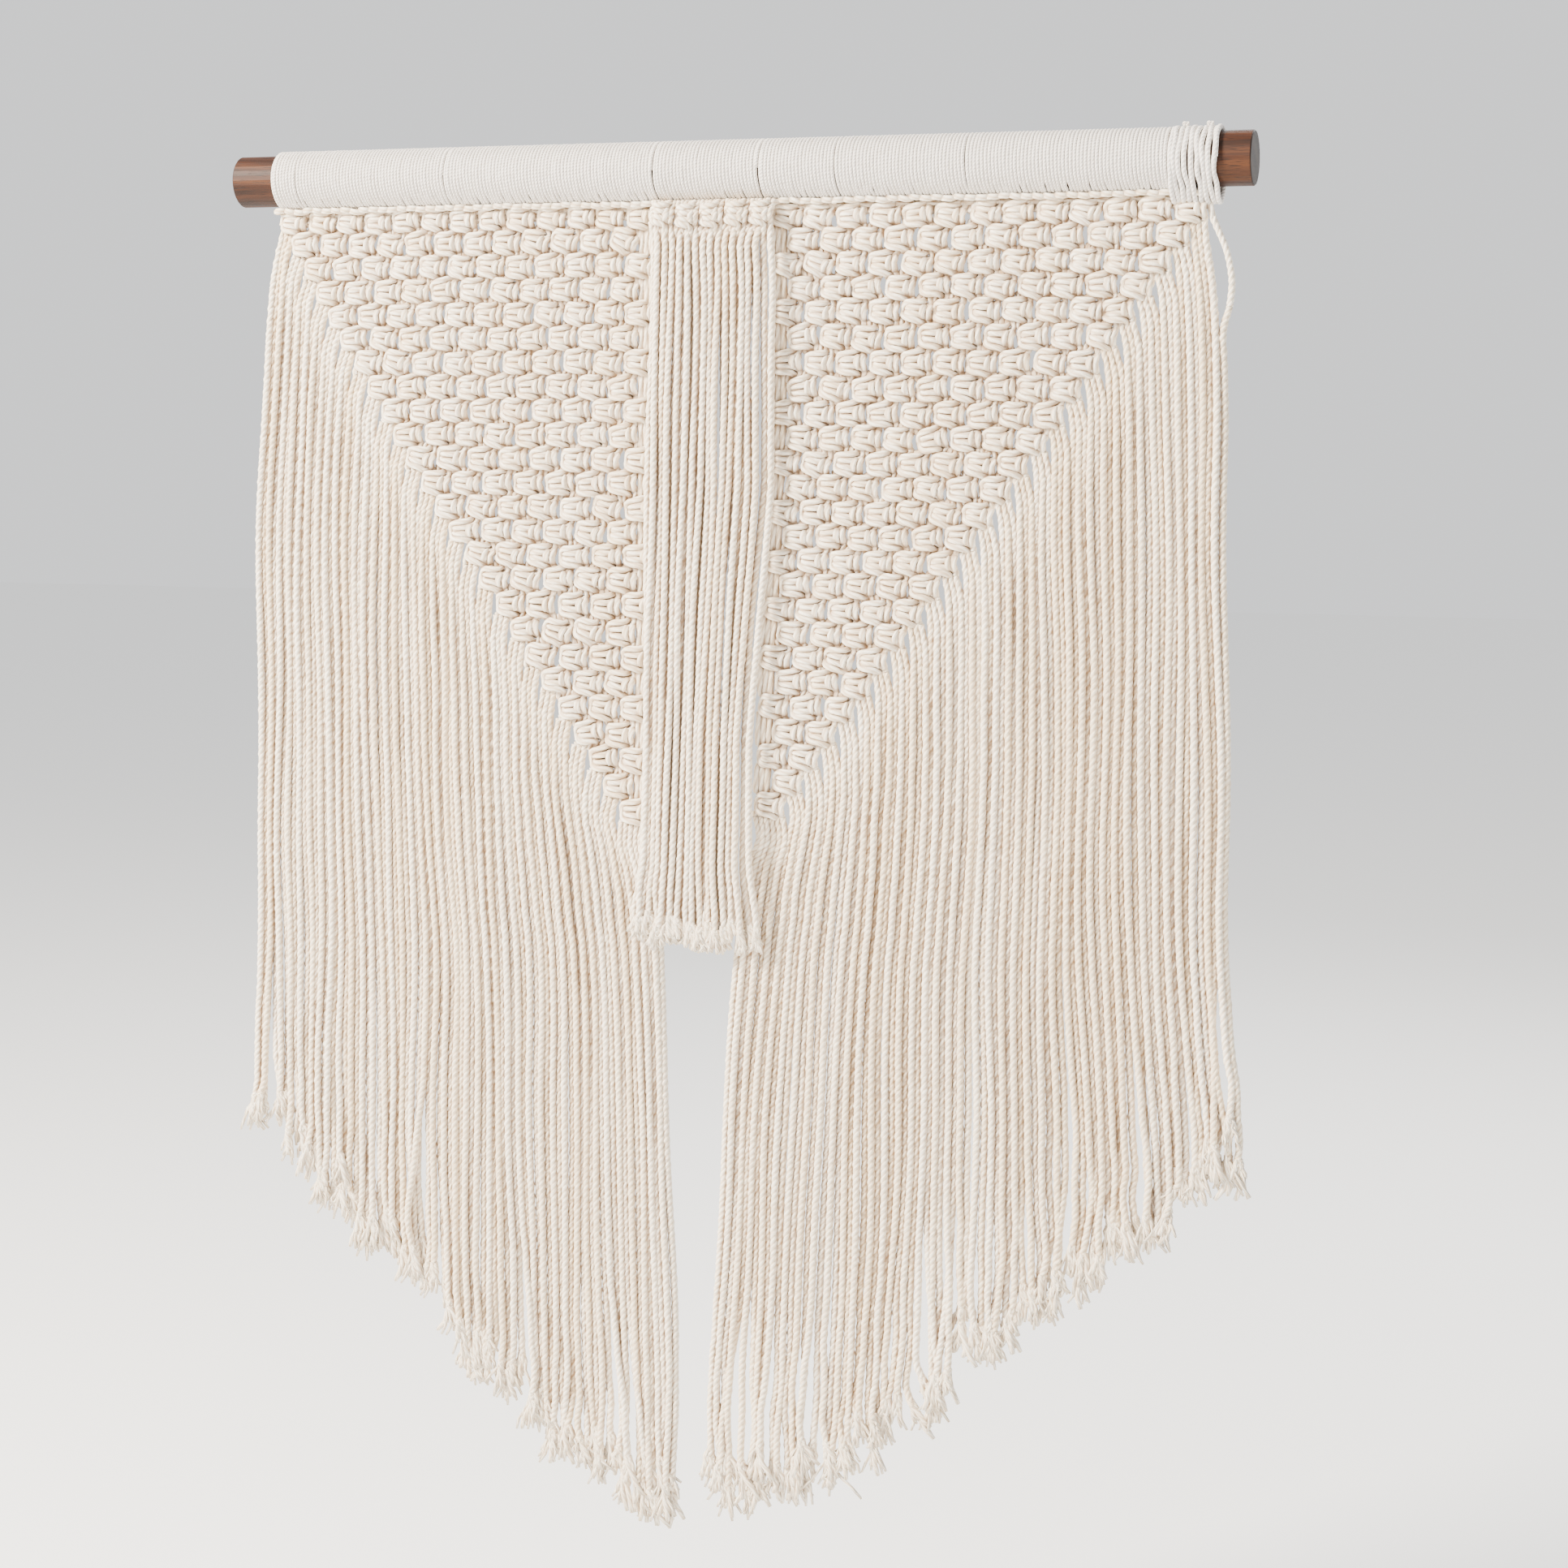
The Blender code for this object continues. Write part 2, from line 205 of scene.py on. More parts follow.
rings = add_node(
    tree, "ShaderNodeTexWave",
    {"wave_type": "RINGS", "rings_direction": "X", "Scale": 0.05 / RING_WIDTH, "Distortion": 1.5,
     "Detail": 2.0}, {"Vector": ring_place},
).outputs["Fac"]
end_colour = add_node(
    tree, "ShaderNodeMix", {"data_type": "RGBA", 6: srgb("#241D19"), 7: srgb("#332A24")},
    {"Factor": rings},
).outputs[2]
along = add_node(tree, "ShaderNodeSeparateXYZ", links={"Vector": place}).outputs["X"]
from_middle = add_node(tree, "ShaderNodeMath", {"operation": "ABSOLUTE"}, {0: along}).outputs[0]
at_end = add_node(
    tree, "ShaderNodeMath", {"operation": "GREATER_THAN", 1: DOWEL_HALF - END_SKIN},
    {0: from_middle},
).outputs[0]
wood_colour = add_node(
    tree, "ShaderNodeMix", {"data_type": "RGBA"}, {"Factor": at_end, 6: sides_colour, 7: end_colour}
).outputs[2]
tree.links.new(wood_colour, shader.inputs["Base Color"])
shader.inputs["Roughness"].default_value = 0.55
shader.inputs["IOR"].default_value = 1.5
shader.inputs["Specular IOR Level"].default_value = 0.22
pore_bump = add_node(
    tree, "ShaderNodeBump", {"Strength": 0.4, "Distance": 0.1 * MM, "invert": True},
    {"Height": pores},
).outputs["Normal"]
tree.links.new(pore_bump, shader.inputs["Normal"])
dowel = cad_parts["dowel"]
dowel.data.materials.clear()
dowel.data.materials.append(walnut)


# ---------------------------------------------------------------------------
# The slack cord: the outermost cord at the right, which has slipped a little and bows out
# beside the fringe. It is the same cotton cord as the whole hanging: three strands twisted
# to the right, a mark every few millimetres, matt and slightly fuzzy, unbleached cream.

STRANDS = 3
CORD_LAY = 14.0
CORD_STEP = 2.4
# how far the cord's middle is from its grooves, as a share of its radius
GROOVE_SHARE = 0.85
# points worked out between each two of a route's own
CURVE_STEPS = 6
# millimetres of cord to one unit of its strand map
MAP_UNIT = 10.0
# the grid that tells where cords lie close together: its cell, its margin, how many cells a cord
# fills to each side of its middle, and how far out from a surface the grid is read
CELL = 1.5
GRID_MARGIN = 9.0
CORD_CELLS = 2
READ_AHEAD = 2.5
# out from the centre, height
SLACK_ROUTE = (
    (340.4, -37.0), (345.2, -47.5), (349.8, -58.0), (352.9, -70.0), (354.2, -81.0), (353.0, -95.0),
)
SLACK_RADIUS = 2.4


def smooth_route(points, step):
    """Points at even steps along a smooth curve through a route's own points."""
    route = np.array(points, float)
    route = np.vstack([2 * route[0] - route[1], route, 2 * route[-1] - route[-2]])
    share = np.linspace(0.0, 1.0, CURVE_STEPS, endpoint=False)[:, None]
    a, b, c, d = route[:-3, None], route[1:-2, None], route[2:-1, None], route[3:, None]
    curve = 0.5 * (
        2 * b + (c - a) * share + (2 * a - 5 * b + 4 * c - d) * share**2
        + (3 * b - a - 3 * c + d) * share**3
    )
    curve = np.vstack([curve.reshape(-1, 3), route[-2]])
    far = np.concatenate([[0.0], np.cumsum(np.linalg.norm(np.diff(curve, axis=0), axis=1))])
    even = np.linspace(0.0, far[-1], max(3, round(far[-1] / step) + 1))
    return np.stack([np.interp(even, far, curve[:, axis]) for axis in range(3)], 1)


def directions(line):
    """The direction along a line at each point, and one across it that turns very little."""
    along = np.gradient(line, axis=0)
    along /= np.linalg.norm(along, axis=1)[:, None]
    across = np.empty_like(line)
    last = np.cross(along[0], (0.0, 1.0, 0.0) if abs(along[0][1]) < 0.9 else (1.0, 0.0, 0.0))
    for at, heading in enumerate(along):
        last = last - heading * last.dot(heading)
        last = last / math.sqrt(last.dot(last))
        across[at] = last
    return along, across


class Cords:
    """Cords laid one after another into one closed mesh, in millimetres.

    A lobed cord has its strands as ridges that turn with the lay. A plain one is round, and its
    strands are drawn in its material, with painted shade in their grooves, because it is too thin
    for ridges to show.
    """

    def __init__(self, lobed=True, sides=6, lay=CORD_LAY):
        self.lobed, self.sides, self.lay = lobed, sides, lay
        self.points, self.faces, self.corners, self.tones = [], [], [], []
        self.middles = []
        self.count = 0
        self.length = 0.0

    def add_tube(self, line, radius, turns, shape, tone, strand_uv):
        """A closed tube along a line. Its ring turns by the given turns at each point."""
        along, across = directions(line)
        beside = np.cross(along, across)
        sides, rings = len(shape), len(line)
        angle = 2 * math.pi * (turns[:, None] + np.arange(sides)[None] / sides)
        reach = np.broadcast_to(radius, (rings,))[:, None] * shape[None]
        ring = (
            line[:, None]
            + (np.cos(angle) * reach)[..., None] * across[:, None]
            + (np.sin(angle) * reach)[..., None] * beside[:, None]
        )
        first = self.count
        self.points += [ring.reshape(-1, 3), line[:1], line[-1:]]
        self.count += rings * sides + 2
        low, side = np.meshgrid(np.arange(rings - 1), np.arange(sides), indexing="ij")
        following = (side + 1) % sides
        a, b = first + low * sides + side, first + low * sides + following
        c, d = a + sides, b + sides
        start, end = first + rings * sides, first + rings * sides + 1
        rim, next_rim = np.arange(sides), (np.arange(sides) + 1) % sides
        top = first + (rings - 1) * sides
        self.faces += [
            np.stack([a, b, c], -1).reshape(-1, 3),
            np.stack([b, d, c], -1).reshape(-1, 3),
            np.stack([np.full(sides, start), first + next_rim, first + rim], -1),
            np.stack([np.full(sides, end), top + rim, top + next_rim], -1),
        ]
        steps = np.linalg.norm(np.diff(line, axis=0), axis=1)
        far = np.concatenate([[0.0], np.cumsum(steps)])
        v0, v1 = far[:-1][low] / MAP_UNIT, far[1:][low] / MAP_UNIT
        t0, t1 = strand_uv[:-1][low], strand_uv[1:][low]
        u, u_next = side / sides, (side + 1) / sides
        self.corners += [
            np.stack([u + t0, v0, u_next + t0, v0, u + t1, v1], -1).reshape(-1, 2),
            np.stack([u_next + t0, v0, u_next + t1, v1, u + t1, v1], -1).reshape(-1, 2),
            np.tile([0.5 / sides, 0.0], (3 * sides, 1)),
            np.tile([0.5 / sides, far[-1] / MAP_UNIT], (3 * sides, 1)),
        ]
        self.tones.append(np.full(rings * sides + 2, tone))
        return far[-1]

    def add_cord(self, line, radius, tone, phase=0.0):
        """A cord of three strands, whose lay starts at a phase of its own."""
        line = np.asarray(line, float)
        self.middles.append(line)
        steps = np.linalg.norm(np.diff(line, axis=0), axis=1)
        turns = np.concatenate([[0.0], np.cumsum(steps)]) / self.lay
        still = np.zeros(len(line))
        if self.lobed:
            shape = np.where(np.arange(self.sides) % 2 == 0, 1.0, GROOVE_SHARE)
            self.length += self.add_tube(line, radius, turns + phase, shape, tone, still)
        else:
            shape = np.ones(self.sides)
            self.length += self.add_tube(line, radius, still + phase, shape, tone, -turns)

    def closeness(self, points, normals):
        """How shut in each point is by other cords: 0 in the open, and 1 between two that touch."""
        corner = points.min(axis=0) - GRID_MARGIN
        cells = np.ceil((points.max(axis=0) + GRID_MARGIN - corner) / CELL).astype(int)
        filled = np.zeros(cells, np.float32)
        places = np.round((np.vstack(self.middles) - corner) / CELL).astype(int)
        near = range(-CORD_CELLS, CORD_CELLS + 1)
        for i, j, k in ((i, j, k) for i in near for j in near for k in near):
            if i * i + j * j + k * k <= CORD_CELLS**2:
                filled[places[:, 0] + i, places[:, 1] + j, places[:, 2] + k] = 1.0
        for axis in range(3):
            filled = (np.roll(filled, 1, axis) + 2 * filled + np.roll(filled, -1, axis)) / 4
        ahead = (points + READ_AHEAD * normals - corner) / CELL
        cell = np.floor(ahead).astype(int)
        share = ahead - cell
        found = np.zeros(len(points))
        for i, j, k in ((i, j, k) for i in (0, 1) for j in (0, 1) for k in (0, 1)):
            weight = np.abs(1.0 - np.array((i, j, k)) - share).prod(axis=1)
            found += weight * filled[cell[:, 0] + i, cell[:, 1] + j, cell[:, 2] + k]
        return found

    def make(self, name, material):
        """The finished mesh object in metres, with strand map, tones and, if lobed, closeness."""
        points = np.vstack(self.points) * MM
        faces = np.vstack(self.faces)
        mesh = bpy.data.meshes.new(name)
        mesh.vertices.add(len(points))
        mesh.vertices.foreach_set("co", points.astype(np.float32).ravel())
        mesh.loops.add(faces.size)
        mesh.loops.foreach_set("vertex_index", faces.astype(np.int32).ravel())
        mesh.polygons.add(len(faces))
        mesh.polygons.foreach_set("loop_start", np.arange(0, faces.size, 3, dtype=np.int32))
        mesh.polygons.foreach_set("use_smooth", np.ones(len(faces), bool))
        strands = mesh.uv_layers.new(name="strands")
        mesh.update(calc_edges=True)
        strands.data.foreach_set("uv", np.vstack(self.corners).astype(np.float32).ravel())
        tones = mesh.attributes.new("tone", "FLOAT", "POINT")
        tones.data.foreach_set("value", np.concatenate(self.tones).astype(np.float32))
        # the material reads closeness as painted shade: brown where other cords lie close
        if self.lobed:
            normals = np.empty(len(points) * 3, np.float32)
            mesh.vertex_normals.foreach_get("vector", normals)
            shut_in = mesh.attributes.new("closeness", "FLOAT", "POINT")
            found = self.closeness(points / MM, normals.reshape(-1, 3))
            shut_in.data.foreach_set("value", found.astype(np.float32))
        mesh.validate()
        mesh.materials.append(material)
        piece = bpy.data.objects.new(name, mesh)
        bpy.context.scene.collection.objects.link(piece)
        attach(piece, "root")
        return piece


def cord_material(name, light, shade, groove_shade_colour, groove_shade_depth, bump_depth):
    """Matt twisted cotton: pale strands with painted shade in the grooves where they meet, and fine
    yarns along them.

    Each cord has its own tone between a light and a shade, and where cords lie close together
    a painted brown shade darkens and warms the cotton.
    """
    material, tree, shader = new_material(name)
    strand_map = add_node(tree, "ShaderNodeUVMap", {"uv_map": "strands"}).outputs["UV"]
    split = add_node(tree, "ShaderNodeSeparateXYZ", links={"Vector": strand_map})
    turn = add_node(
        tree, "ShaderNodeMath", {"operation": "MULTIPLY", 1: 2.0 * math.pi * STRANDS},
        {0: split.outputs["X"]},
    ).outputs[0]
    wave = add_node(tree, "ShaderNodeMath", {"operation": "COSINE"}, {0: turn}).outputs[0]
    # painted shade: darker in the grooves between the three strands
    between = add_node(
        tree, "ShaderNodeMapRange",
        {"From Min": 0.0, "From Max": -1.0, "To Min": 0.0, "To Max": 1.0}, {"Value": wave},
    ).outputs["Result"]
    # real yarns are about 0.5 mm, too fine to show, so they are drawn about twice as coarse
    yarn_place = add_node(
        tree, "ShaderNodeMapping", {"Scale": (15.0, 1.6, 1.0)}, {"Vector": strand_map}
    ).outputs["Vector"]
    yarns = add_node(
        tree, "ShaderNodeTexNoise", {"noise_dimensions": "2D", "Scale": 1.0, "Detail": 2.0},
        {"Vector": yarn_place},
    ).outputs["Fac"]
    # faint blotches about 18 mm across
    place = add_node(tree, "ShaderNodeTexCoord").outputs["Object"]
    clouds = add_node(
        tree, "ShaderNodeTexNoise", {"Scale": 55.0, "Detail": 2.0}, {"Vector": place}
    ).outputs["Fac"]
    tone = add_node(tree, "ShaderNodeAttribute", {"attribute_name": "tone"}).outputs["Fac"]
    mixed = add_node(
        tree, "ShaderNodeMath", {"operation": "MULTIPLY_ADD", 1: 0.55}, {0: clouds, 2: tone}
    ).outputs[0]
    pale = add_node(
        tree, "ShaderNodeMapRange",
        {"From Min": 0.30, "From Max": 1.15, "To Min": 0.0, "To Max": 1.0}, {"Value": mixed},
    ).outputs["Result"]
    ground = add_node(
        tree, "ShaderNodeMix", {"data_type": "RGBA", 6: srgb(shade), 7: srgb(light)},
        {"Factor": pale},
    ).outputs[2]
    lines = add_node(
        tree, "ShaderNodeMapRange",
        {"From Min": 0.48, "From Max": 0.66, "To Min": 0.0, "To Max": 0.75}, {"Value": yarns},
    ).outputs["Result"]
    # the painted shade of the strand grooves, together with the fine yarn lines in the same colour
    groove_shade_and_yarn_lines = add_node(
        tree, "ShaderNodeMath", {"operation": "MAXIMUM"}, {0: between, 1: lines}
    ).outputs[0]
    depth = add_node(
        tree, "ShaderNodeMath", {"operation": "MULTIPLY", 1: groove_shade_depth}, {0: groove_shade_and_yarn_lines}
    ).outputs[0]
    colour = add_node(
        tree, "ShaderNodeMix", {"data_type": "RGBA", 7: srgb(groove_shade_colour)}, {"Factor": depth, 6: ground}
    ).outputs[2]
    # painted shade: a warm brown where other cords lie close, standing in for the shade between
    # them
    shut_in = add_node(tree, "ShaderNodeAttribute", {"attribute_name": "closeness"}).outputs["Fac"]
    painted_crevice_shade = add_node(
        tree, "ShaderNodeMapRange",
        {"From Min": 0.14, "From Max": 0.78, "To Min": 0.0, "To Max": 0.78}, {"Value": shut_in},
    ).outputs["Result"]
    colour_with_painted_shade = add_node(
        tree, "ShaderNodeMix", {"data_type": "RGBA", 7: srgb("#86623A")},
        {"Factor": painted_crevice_shade, 6: colour},
    ).outputs[2]
    tree.links.new(colour_with_painted_shade, shader.inputs["Base Color"])
    height = add_node(
        tree, "ShaderNodeMath", {"operation": "MULTIPLY_ADD", 1: 1.2}, {0: yarns, 2: wave}
    ).outputs[0]
    normal = add_node(
        tree, "ShaderNodeBump", {"Strength": 0.6, "Distance": bump_depth * MM}, {"Height": height}
    ).outputs["Normal"]
    tree.links.new(normal, shader.inputs["Normal"])
    shader.inputs["Roughness"].default_value = 0.92
    shader.inputs["IOR"].default_value = 1.45
    shader.inputs["Specular IOR Level"].default_value = 0.2
    shader.inputs["Sheen Weight"].default_value = 0.18
    shader.inputs["Sheen Roughness"].default_value = 0.5
    return material


# the third colour is painted shade for the grooves between strands
cotton = cord_material("unbleached_cotton", "#FBF2E1", "#F1E1C5", "#B0884F", 0.54, 0.36)

slack = Cords()
slack_line = smooth_route([(x, 0.0, z) for x, z in SLACK_ROUTE], CORD_STEP)
slack.add_cord(slack_line, SLACK_RADIUS, tone=0.9)
slack_cord = slack.make("slack_cord_twisted", cotton)
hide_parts("slack_cord")


# ---------------------------------------------------------------------------
# The wrapping: a thinner, whiter cotton cord wound tightly round the dowel, turn by turn.
# It binds the holding cord under the dowel. It was wound in lengths, which meet in a fine
# dark line, and the last turns at the right are loose, uneven and tied off in two small knots.

WRAP_CORD_RADIUS = 1.33
WRAP_RADIUS = 19.75
WRAP_PITCH = 2.5
WRAP_SEGMENTS = 26
WRAP_LAY = 6.5
# node, extra gaps inside it, each at a distance along the dowel
WRAP_JOINS = {
    "wrap_outer_left": (-315.5,),
    "wrap_left": (),
    "wrap_centre": (),
    "wrap_right": (88.5, 178.4),
}
JOIN_GAP = 0.7
# the part of a turn that runs straight round at each end of a length
FLAT_TURN = 0.75
# how far turns stray along the bar and out from it
SWAY = 0.35
SWELL = 0.22
# turns part in places low on the front, and the dark dowel shows as short slits
SLITS_AT = -0.5 * math.pi + 0.5
SLIT_SPREAD = 0.25
SLIT_WIDTH = 1.7

# the third colour is painted shade for the grooves between strands
wrapping = cord_material("wrapping_cotton", "#F1EDE7", "#E4DED6", "#AE9C8A", 0.6, 0.25)


def wound_line(start, end, pitch, gaps, chance, looseness=0.0):
    """The line of a cord wound round the dowel, as angles, places along it and radii."""
    turns = max(2, round((end - start - 2 * WRAP_CORD_RADIUS) / pitch)) + 2 * FLAT_TURN
    total = round(turns * WRAP_SEGMENTS)
    angle = 2 * math.pi * np.arange(total + 1) / WRAP_SEGMENTS
    first, last = start + WRAP_CORD_RADIUS, end - WRAP_CORD_RADIUS
    flat = 2 * math.pi * FLAT_TURN
    along = first + (last - first) * np.clip((angle - flat) / (angle[-1] - 2 * flat), 0, 1)
    for gap in gaps:
        along = along + JOIN_GAP * 0.5 * np.tanh((along - gap - 0.8 * np.sin(angle)) / 0.4)
    seed = chance.uniform(0.0, 90.0)
    sway = [
        noise.noise(Vector((math.cos(a) * 1.5 + a * 0.06, math.sin(a) * 1.5, seed))) for a in angle
    ]
    under = np.exp(-(((angle + SLITS_AT) % (2 * math.pi) - math.pi) / SLIT_SPREAD) ** 2)
    parting = np.clip([noise.noise(Vector((a * 1.3, 4.0, seed))) for a in angle], -0.5, 0.5)
    along = along + np.array(sway) * (SWAY + 0.9 * looseness) + SLIT_WIDTH * under * parting
    along = np.clip(along, first, last)
    swell = [
        noise.noise(Vector((math.cos(a) * 2.0, math.sin(a) * 2.0 + a * 0.5, seed + 9)))
        for a in angle
    ]
    radius = WRAP_RADIUS + np.array(swell) * (SWELL + 0.5 * looseness)
    return angle, along, radius


def around(angle, along, radius):
    """Points round the dowel, starting at its back and going over the top to the front."""
    return np.stack([along, np.cos(angle) * radius, np.sin(angle) * radius], 1)


chance = random.Random(11)
for node, gaps in WRAP_JOINS.items():
    low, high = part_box(node)
    wrap = Cords(lobed=False, sides=6, lay=WRAP_LAY)
    angle, along, radius = wound_line(low.x / MM, high.x / MM, WRAP_PITCH, gaps, chance)
    wrap.add_cord(around(angle, along, radius), WRAP_CORD_RADIUS, tone=0.7)
    wound = wrap.make(node + "_wound", wrapping)
    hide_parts(node)

LOOSE_CORD_RADIUS = 1.8
LOOSE_LAY = 9.0
LOOSE_PITCH = 3.8
LOOSENESS = 1.7
LOOSE_STEP = 4.0
# the last turn hangs over the end of its length a little
OVERHANG = 0.6
HEADING_DROP = -(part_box("heading")[0].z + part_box("heading")[1].z) / 2.0 / MM
# the loose turns also go round the holding cord: how far below its middle, how many degrees to
# each side of straight down, and how far off the dowel's other turns
LASH_BELOW = 4.6
LASH_ANGLE = 42.0
LASH_OFF = 0.25
# distance along the dowel of the two small knots on top
TIE_KNOTS = (322.0, 338.0)
TIE_KNOT_SIZE = 0.6
TIE_CORD_RADIUS = 0.9

low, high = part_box("wrap_loose")
wrap = Cords(lobed=False, sides=7, lay=LOOSE_LAY)
angle, along, radius = wound_line(
    low.x / MM, high.x / MM + OVERHANG, LOOSE_PITCH, (), chance, LOOSENESS
)
from_below = np.abs((np.degrees(angle) + 90.0 + 180.0) % 360.0 - 180.0)
reach_down = HEADING_DROP + LASH_BELOW - WRAP_RADIUS
lashed = np.clip(1.0 - from_below / LASH_ANGLE, 0.0, 1.0) ** 1.2
radius = radius + LASH_OFF + reach_down * lashed
line = smooth_route(around(angle, along, radius), LOOSE_STEP)
wrap.add_cord(line, LOOSE_CORD_RADIUS, tone=0.75)
for along_dowel in TIE_KNOTS:
    t = np.linspace(0.0, 2 * math.pi, 40)
    knot = np.stack(
        [np.sin(t) + 2 * np.sin(2 * t), -np.sin(3 * t) * 1.3, np.cos(t) - 2 * np.cos(2 * t)], 1
    )
    knot_middle = (along_dowel, -1.0, WRAP_RADIUS + 2.4)
    wrap.add_cord(knot * TIE_KNOT_SIZE + knot_middle, TIE_CORD_RADIUS, tone=0.6)
wound = wrap.make("wrap_loose_wound", wrapping)
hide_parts("wrap_loose")


# ---------------------------------------------------------------------------
# The two nets: rows of square knots in the same cotton cord, each row half a knot in from the
# last, down to one knot. A knot is tied with two pairs round two core cords: the right pair
# crosses the front twice, and the left pair the back. Each row drops its three outermost cords.

COLUMNS = 13
ROWS = 2 * COLUMNS - 1
CORDS_A_KNOT = 6
CORDS_A_ROW = CORDS_A_KNOT // 2
CORDS_A_SIDE = CORDS_A_KNOT * COLUMNS
NET_LAY = 48.0
NET_STEP = 2.65
KNOT_COLUMN = 23.0
KNOT_ROW = 17.0
# how much a knot widens towards its top and foot, and how far off its middle that is full
KNOT_FLARE = 0.13
FLARE_AT = 6.0
# where a cord starts behind the holding cord: how far forward, and how high in the first row
ENTRY_FORWARD = 0.8
ENTRY_SHARE = 0.48
EDGE_BOW = 0.6

# The tables of heights and edges are those that the CAD part is built from, in millimetres.
# row number, height
LEFT_ROWS = ((0, -29.5), (4, -96.0), (15, -282.0), (24, -446.0))
RIGHT_ROWS = ((0, -32.0), (4, -96.0), (8, -165.0), (19, -350.0), (24, -437.0))
# height, inner edge, column
LEFT_NET = (
    (-28.0, 48.5, 22.3), (-95.0, 49.0, 22.9), (-280.0, 49.5, 24.6), (-360.0, 51.5, 24.3),
    (-450.0, 53.0, 24.0),
)
RIGHT_NET = (
    (-28.0, 36.7, 23.1), (-165.0, 36.6, 23.1), (-267.0, 32.8, 23.2), (-334.0, 28.5, 23.6),
    (-440.0, 24.5, 24.0),
)
# height, inner edge, outer edge
LEFT_FRINGE = (
    (-36.0, 48.5, 339.0), (-67.0, 48.5, 350.0), (-160.0, 49.0, 358.0), (-280.0, 49.5, 363.5),
    (-450.0, 52.5, 368.0), (-550.0, 38.0, 368.5), (-690.0, 36.5, 376.0), (-795.0, 32.0, 376.0),
    (-955.0, 33.5, 376.0),
)
RIGHT_FRINGE = (
    (-36.0, 36.7, 337.3), (-75.0, 36.7, 345.6), (-107.0, 36.6, 349.3), (-212.0, 35.0, 352.7),
    (-362.0, 27.5, 357.0), (-450.0, 24.0, 356.5), (-550.0, 8.0, 363.0), (-655.0, 1.5, 378.0),
    (-790.0, -6.5, 380.0), (-940.0, -10.5, 380.0),
)
# how low the cut ends come in each column, from the innermost outwards
LEFT_HEM = (-952, -947, -928, -918, -894, -875, -863, -800, -784, -770, -750, -713, -690)
RIGHT_HEM = (-941, -935, -920, -905, -882, -866, -820, -799, -772, -745, -722, -702, -668)

# The way of each of a knot's cords, from the leftmost, as (across, forward, up) in millimetres.
KNOT = (
    (
        (-7.6, -0.8, 6.4), (-5.2, -3.4, 4.8), (-0.8, -4.4, 4.0), (4.2, -3.8, 4.2), (7.0, -1.4, 4.6),
        (8.2, 1.4, 3.4), (8.0, 3.2, 0.8), (8.0, 3.0, -1.6), (7.8, 1.0, -4.2), (6.2, -2.0, -5.0),
        (2.2, -4.2, -4.6), (-2.6, -4.4, -4.8), (-5.8, -2.8, -5.4), (-7.8, -0.8, -6.8),
    ),
    (
        (-4.6, -2.0, 6.6), (-3.6, -4.2, 2.6), (0.4, -4.6, 1.4), (3.2, -3.0, 1.8), (4.6, 0.6, 3.6),
        (4.7, 3.6, 2.6), (4.6, 4.6, -0.2), (4.5, 3.2, -3.0), (3.4, -1.2, -2.8), (1.0, -4.3, -1.4),
        (-3.2, -4.4, -2.0), (-4.6, -2.4, -6.2),
    ),
    ((-1.8, 0.0, 5.0), (-1.6, -1.0, 0.0), (-1.8, 0.0, -5.0)),
    ((1.8, 0.0, 5.0), (1.6, -1.0, 0.0), (1.8, 0.0, -5.0)),
    (
        (4.2, 1.4, 7.2), (1.2, 3.6, 6.1), (-2.8, 4.1, 5.6), (-5.8, 2.4, 4.8), (-7.4, 0.6, 2.0),
        (-7.5, 0.2, -1.6), (-6.2, 2.2, -4.7), (-2.8, 4.1, -5.8), (1.2, 3.8, -6.1), (4.0, 1.6, -7.2),
    ),
    (
        (7.8, -0.6, 6.2), (6.0, 0.6, 3.4), (2.6, 3.4, 2.2), (-1.6, 4.3, 1.9), (-4.6, 2.6, 1.7),
        (-5.6, -1.6, 0.0), (-4.6, 2.6, -1.9), (-1.6, 4.3, -2.1), (2.6, 3.4, -2.5), (6.0, 0.4, -3.6),
        (7.8, -0.8, -6.2),
    ),
)


def knot_out(place):
    """How far from its knot's middle a cord enters and leaves, with the cords evenly apart."""
    return (place + 0.5 - CORDS_A_KNOT / 2.0) * KNOT_COLUMN / CORDS_A_KNOT


def lookup(table, key, column=1):
    """Read a column of a table between its rows, and hold its end values beyond them."""
    rows = sorted(table)
    return float(np.interp(key, [row[0] for row in rows], [row[column] for row in rows]))


